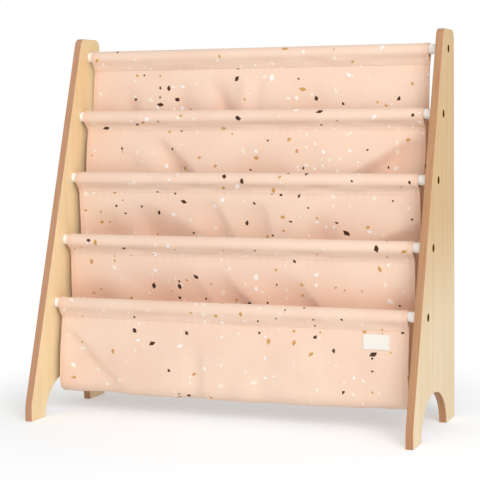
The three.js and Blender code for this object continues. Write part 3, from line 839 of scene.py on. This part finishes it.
def sling_grid(level):
    """Middle of one sling as a grid of points, across by down its run, and where it is sewn."""
    lowest = level == LEVELS - 2
    x = across_places()[:, None]
    axis_z, next_z = AXES[level][1], AXES[level + 1][1]
    middle_x = np.array([[(CLOTH_LEFT + CLOTH_RIGHT) / 2]])
    bottom_z = next_z - POCKET_DROP
    back_y = wall_y(level, middle_x, np.array([[axis_z - bottom_z]]))[0, 0]
    front_y = front_points(level + 1, middle_x, np.array([[POCKET_DROP]]), lowest)[0][0, 0]
    radius = (back_y - front_y) / 2
    turn_z = bottom_z + radius

    loop_y, loop_z = sleeve_points(level, x, True)
    drops = spaced(SEAM_DROP, axis_z - turn_z, DOWN_STEP)[None, :]
    back_run_y = wall_y(level, x, drops)
    back_run_z = axis_z - drops + 0 * x

    foot = next_z - turn_z
    top = SEAM_DROP if lowest else SEAM_DROP + CAD_CLOTH
    front_drops = spaced(foot, top, DOWN_STEP)[None, :]
    front_run_y, front_run_z = front_points(level + 1, x, front_drops, lowest)

    along = 2 * (x - middle_x) / CLOTH_WIDTH
    depth = radius + BOTTOM_SAG * (1 - along * along) - lowest * BOTTOM_RISE * (1 + along) / 2
    turns = spaced(0, math.pi, DOWN_STEP / radius)[None, 1:-1]
    turn_back, turn_front = back_run_y[:, -1:], front_run_y[:, :1]
    bottom_y = (turn_back + turn_front) / 2 + (turn_back - turn_front) / 2 * np.cos(turns)
    bottom_run_z = turn_z - depth * np.sin(turns)

    y = [loop_y, back_run_y, bottom_y, front_run_y]
    z = [loop_z, back_run_z, bottom_run_z, front_run_z]
    seams = [0, loop_y.shape[1]]
    if lowest:
        end_y, end_z = sleeve_points(level + 1, x, False)
        seams.append(sum(part.shape[1] for part in y) - 1)
        y.append(end_y)
        z.append(end_z)
    y, z = np.concatenate(y, 1), np.concatenate(z, 1)
    return np.stack([x + 0 * y, y, z], 2), seams


def grid_normals(points):
    across = np.gradient(points, axis=0)
    down = np.gradient(points, axis=1)
    normals = np.cross(across, down)
    return normals / np.linalg.norm(normals, axis=2, keepdims=True)


def wrinkles(x, runs, seed):
    """Soft shallow unevenness of hanging cloth."""
    value = np.zeros((len(x), len(runs)))
    for i, across in enumerate(x / WRINKLE_SIZE):
        for j, down in enumerate(runs / (WRINKLE_STRETCH * WRINKLE_SIZE)):
            spot = Vector((across, down, seed))
            fine = noise.noise(FINE_WRINKLE_SCALE * spot)
            value[i, j] = noise.noise(spot) + FINE_WRINKLE_SHARE * fine
    return value * WRINKLE_DEPTH


class Hanging:
    """A sheet's middle surface: points on a grid, across by down its run, and its half thickness."""

    def __init__(self, points, runs, half):
        self.points = points
        self.runs = runs
        self.half = half
        self.normals = grid_normals(points)
        self.x = points[:, 0, 0]

    def at(self, x, run, side):
        """Points on one face of the cloth, 1 its outer and -1 its inner, and the way out of it."""
        i = np.interp(x, self.x, np.arange(len(self.x)))
        j = np.interp(run, self.runs, np.arange(len(self.runs)))
        i0 = np.minimum(i.astype(int), len(self.x) - 2)
        j0 = np.minimum(j.astype(int), len(self.runs) - 2)
        u, v = (i - i0)[:, None], (j - j0)[:, None]

        def between(grid):
            low = grid[i0, j0] * (1 - u) + grid[i0 + 1, j0] * u
            high = grid[i0, j0 + 1] * (1 - u) + grid[i0 + 1, j0 + 1] * u
            return low * (1 - v) + high * v

        out = side * between(self.normals)
        out /= np.linalg.norm(out, axis=1, keepdims=True)
        return between(self.points) + out * between(self.half[..., None]), out


def link_piece(name, vertices, faces, material):
    mesh = bpy.data.meshes.new(name)
    mesh.from_pydata(vertices.tolist(), [], [list(face) for face in faces])
    mesh.polygons.foreach_set("use_smooth", [True] * len(mesh.polygons))
    mesh.materials.append(material)
    piece = bpy.data.objects.new(name, mesh)
    bpy.context.scene.collection.objects.link(piece)
    return piece


def lay_flat(mesh, flat):
    """Gives each vertex its place on the flat cloth, in metres."""
    layer = mesh.uv_layers.new(name="cloth")
    corners = np.zeros(len(mesh.loops), dtype=np.int32)
    mesh.loops.foreach_get("vertex_index", corners)
    layer.data.foreach_set("uv", flat[corners].astype(np.float32).ravel())


def sheet_piece(name, cloth, material, print_start):
    """The closed sheet itself: its two faces and the rims between them."""
    count_x, count_v = cloth.points.shape[:2]
    offset = cloth.normals * cloth.half[..., None]
    vertices = np.stack([cloth.points + offset, cloth.points - offset]).reshape(-1, 3)
    outer = np.arange(count_x * count_v).reshape(count_x, count_v)
    inner = outer + count_x * count_v
    faces = [
        np.stack([outer[:-1, :-1], outer[1:, :-1], outer[1:, 1:], outer[:-1, 1:]], 2).reshape(-1, 4),
        np.stack([inner[:-1, :-1], inner[:-1, 1:], inner[1:, 1:], inner[1:, :-1]], 2).reshape(-1, 4),
    ]
    rims = [
        (outer[0], inner[0]),
        (inner[-1], outer[-1]),
        (inner[:, 0], outer[:, 0]),
        (outer[:, -1], inner[:, -1]),
    ]
    for edge, other in rims:
        faces.append(np.stack([edge[:-1], edge[1:], other[1:], other[:-1]], 1))
    piece = link_piece(name, vertices, np.concatenate(faces).tolist(), material)
    from_side, from_start = cloth.x - cloth.x[0] + print_start[0], cloth.runs + print_start[1]
    flat = np.stack(np.meshgrid(from_side, from_start, indexing="ij"), 2)
    lay_flat(piece.data, np.tile(flat.reshape(-1, 2), (2, 1)))
    return piece


def stitches(name, rows, material, scale=1.0):
    """Rows of small stitches. Each row has their middles, directions and ways out of the cloth."""
    middle, along, out = (np.concatenate(parts) for parts in zip(*rows))
    aside = np.cross(out, along)
    share = np.linspace(-1, 1, STITCH_RINGS)
    round_off = np.sqrt(np.maximum(1 - share**4, STITCH_TIP_SHARE))
    lift = (STITCH_RADIUS + STITCH_SINK) * (1 - share * share) - STITCH_SINK
    turn = np.linspace(0, math.tau, STITCH_SIDES, endpoint=False)
    length = STITCH_LENGTH / 2 * share[:, None, None] * along[:, None, None, :]
    height = (lift[:, None] + STITCH_RADIUS * round_off[:, None] * np.sin(turn))[..., None]
    width = (STITCH_RADIUS * round_off[:, None] * np.cos(turn))[..., None]
    offsets = length + height * out[:, None, None, :] + width * aside[:, None, None, :]
    vertices = (middle[:, None, None, :] + scale * offsets).reshape(-1, 3)

    count = len(middle)
    first = (np.arange(count) * STITCH_RINGS * STITCH_SIDES)[:, None, None]
    ring = (np.arange(STITCH_RINGS - 1) * STITCH_SIDES)[None, :, None]
    this = np.arange(STITCH_SIDES)
    following = (this + 1) % STITCH_SIDES
    corners = [this, this + STITCH_SIDES, following + STITCH_SIDES, following]
    faces = np.stack([first + ring + corner for corner in corners], 3).reshape(-1, 4).tolist()
    last = (STITCH_RINGS - 1) * STITCH_SIDES
    for base in first[:, 0, 0].tolist():
        faces.append([base + side for side in range(STITCH_SIDES)])
        faces.append([base + last + side for side in reversed(range(STITCH_SIDES))])
    return link_piece(name, vertices, faces, material)


def stitch_row(cloth, x, run, side):
    """Stitches at these places of a sheet's face; x and run are arrays or one of them a number."""
    x, run = np.broadcast_arrays(np.asarray(x, float), np.asarray(run, float))
    middle, out = cloth.at(x, run, side)
    if len(x) > 1 and x[0] != x[-1]:
        ahead, _ = cloth.at(x + STITCH_LENGTH / 2, run, side)
    else:
        ahead, _ = cloth.at(x, run + STITCH_LENGTH / 2, side)
    along = ahead - middle
    along -= out * (along * out).sum(1, keepdims=True)
    along /= np.linalg.norm(along, axis=1, keepdims=True)
    return middle, along, out


def hang_cloth(level):
    """One sling's cloth, the places along its run where it is sewn, and where it is a sleeve."""
    lowest = level == LEVELS - 2
    points, seams = sling_grid(level)
    runs = lengths_along(points[points.shape[0] // 2])
    seam_runs = runs[seams]
    in_sleeve = (runs < seam_runs[1]) | (lowest & (runs > seam_runs[-1]))
    from_end = np.minimum(runs, runs[-1] - runs)
    x = points[:, 0, 0]

    calm = 1 - np.max([near(runs, place, SEAM_CALM) for place in (*seam_runs, runs[-1])], axis=0)
    calm = np.where(in_sleeve, SLACK_SHARE * near(from_end, SLACK_RUN, SLACK_REACH), calm)
    loose = calm * wrinkles(x, runs, WRINKLE_SEED * (level + 1))
    points = points + grid_normals(points) * loose[..., None]

    from_side = np.minimum(x - x[0], x[-1] - x)
    hem = smooth((HEM_WIDTH - from_side) / (HEM_STEP_SHARE * HEM_WIDTH))
    rim = np.minimum(from_side[:, None], from_end[None, :]) / RIM
    rounding = RIM_SHARE + (1 - RIM_SHARE) * np.sqrt(1 - (1 - np.clip(rim, 0, 1)) ** 2)
    half = (CLOTH + hem[:, None] * HEM_EXTRA) / 2 * rounding
    return Hanging(points, runs, half), seam_runs, in_sleeve


def painted_shade(level, points, runs):
    """Painted shade on the inner side of the cloth: how deep in its pocket, or in the hollow of a
    fold, it lies.
    Below the next rod, where only light off the cloth itself comes, it fades out again."""
    drop = AXES[level][1] - points[..., 2]
    pocket = POCKET_SHADES[level] * smooth((drop - SHADE_START) / SHADE_REACH)
    folds = fold_depth(level, points[..., 0], drop) / FOLD_SHADE
    on_wall = runs < runs[points[0, :, 2].argmin()]
    fade = 1 - smooth((drop - PITCH) / SHADE_REACH)
    return np.clip(pocket + np.where(on_wall, folds, 0), 0, 1) * fade


def mark_painted_shade(piece, level, cloth, in_sleeve):
    """Writes the painted shade of a sling's inner side on its vertices; its outer side has none."""
    inner = np.where(in_sleeve, 0, painted_shade(level, cloth.points, cloth.runs)).ravel()
    values = np.concatenate([np.zeros(len(inner)), inner]).astype(np.float32)
    piece.data.attributes.new("painted_shade", "FLOAT", "POINT").data.foreach_set("value", values)


def sling_rows(cloth, seam_runs, lowest):
    """A sling's rows of stitches: along its stitch lines, down its side hems and round its rods."""
    end = cloth.runs[-1]
    across = np.arange(CLOTH_LEFT + HEM_WIDTH / 2, CLOTH_RIGHT - HEM_WIDTH / 2, STITCH_PITCH)
    rows = [
        stitch_row(cloth, across, STITCH_INSET, 1),
        stitch_row(cloth, across, seam_runs[1] - STITCH_INSET, 1),
    ]
    if lowest:
        rows.append(stitch_row(cloth, across, end - STITCH_INSET, -1))
        rows.append(stitch_row(cloth, across, seam_runs[-1] + STITCH_INSET, -1))
    open_end = seam_runs[-1] if lowest else end
    down = np.arange(seam_runs[1] + STITCH_PITCH, open_end - STITCH_PITCH, STITCH_PITCH)
    round_rod = np.arange(2 * STITCH_PITCH, seam_runs[1] - STITCH_PITCH, STITCH_PITCH)
    for hem_x in (CLOTH_LEFT + HEM_WIDTH - STITCH_INSET, CLOTH_RIGHT - HEM_WIDTH + STITCH_INSET):
        rows += [stitch_row(cloth, hem_x, down, side) for side in (1, -1)]
        rows.append(stitch_row(cloth, hem_x, round_rod, 1))
        if lowest:
            rows.append(stitch_row(cloth, hem_x, seam_runs[-1] + round_rod, -1))
    return rows


def make_sling(level, canvas, thread):
    lowest = level == LEVELS - 2
    cloth, seam_runs, in_sleeve = hang_cloth(level)
    print_start = np.array(PRINT_SHIFT) * level
    piece = sheet_piece(f"sling_cloth_{level + 1}", cloth, canvas, print_start)
    mark_painted_shade(piece, level, cloth, in_sleeve)
    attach(piece, "root")
    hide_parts(f"sling_{level + 1}")

    rows = sling_rows(cloth, seam_runs, lowest)
    sewing = stitches(f"sling_stitches_{level + 1}", rows, thread)
    sewing.parent = piece

    return piece, cloth


def rising_front(cloth):
    """Heights up a pocket's front, from its bottom to its rod, and their places along the run."""
    heights = cloth.points[len(cloth.x) * 3 // 4, :, 2]
    half_way = len(heights) // 2
    foot = half_way + heights[half_way:].argmin()
    top = half_way + heights[half_way:].argmax()
    return heights[foot:top], cloth.runs[foot:top]


def make_label(front, satin, thread):
    """The bare label, sewn by its two ends to the lowest pocket's front."""
    low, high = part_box("label")
    x = spaced(low.x, high.x, LABEL_STEP)
    z = spaced(low.z, high.z, LABEL_STEP)
    runs = np.interp(z, *rising_front(front))
    grid_x, grid_run = np.meshgrid(x, runs, indexing="ij")
    under, out = front.at(grid_x.ravel(), grid_run.ravel(), 1)
    u = np.linspace(-1, 1, len(x))[:, None]
    v = np.linspace(-1, 1, len(z))[None, :]
    across, up = LABEL_WAVE_RATES
    wave = 1 + LABEL_WAVE * np.sin(across * u + up * v)
    lift = LABEL_CLOTH / 2 + LABEL_LIFT + LABEL_PUFF * (1 - u**4) * (1 - v * v / 2) * wave
    points = (under + out * lift.reshape(-1, 1)).reshape(len(x), len(z), 3)
    folded = np.minimum(x - x[0], x[-1] - x) < 2 * LABEL_STITCH_INSET
    half = LABEL_CLOTH / 2 * (1 + LABEL_FOLD_EXTRA * folded)[:, None] + 0 * v
    cloth = Hanging(points, z - z[0], half)
    piece = sheet_piece("label_satin", cloth, satin, (0, 0))
    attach(piece, "root")
    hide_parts("label")

    pitch = STITCH_PITCH * LABEL_STITCH_SCALE
    down = np.arange(pitch / 2, cloth.runs[-1], pitch)
    ends = (x[0] + LABEL_STITCH_INSET, x[-1] - LABEL_STITCH_INSET)
    rows = [stitch_row(cloth, end, down, 1) for end in ends]
    sewing = stitches("label_stitches", rows, thread, LABEL_STITCH_SCALE)
    sewing.parent = piece


def dress_frame(finishes):
    """Gives each node of the frame its own finish, or that of its slot."""
    for part in frame["record"]["subparts"]:
        node = frame["nodes"][part["node"]]
        node.data.materials.clear()
        node.data.materials.append(finishes.get(part["node"]) or finishes[part["material_slot"]])


def make_rack():
    canvas, satin = canvas_cloth(), label_satin()
    dress_frame({
        # painted light: each side panel gets its own copy of the maple, lighter or darker for how it
        # is lit
        "left_side_panel": maple("maple_left_painted_light", LEFT_BOARD_WITH_PAINTED_LIGHT),
        "right_side_panel": maple("maple_right_painted_light", RIGHT_BOARD_WITH_PAINTED_LIGHT),
        "rod_paint": rod_paint(),
        "plug_nylon": plug_nylon(),
        "bolt_bronze": bolt_bronze(),
        "sling_canvas": canvas,
        "label_cloth": satin,
    })
    canvas_thread = sewing_thread("canvas_thread", CANVAS_THREAD)
    label_thread = sewing_thread("label_thread", LABEL_THREAD)
    for level in range(LEVELS - 1):
        sling, cloth = make_sling(level, canvas, canvas_thread)
    make_label(cloth, satin, label_thread)


make_camera()
make_world()
make_floor()
for lamp in LAMPS:
    make_lamp(**lamp)
make_rack()
bpy.context.scene.view_settings.view_transform = "Standard"
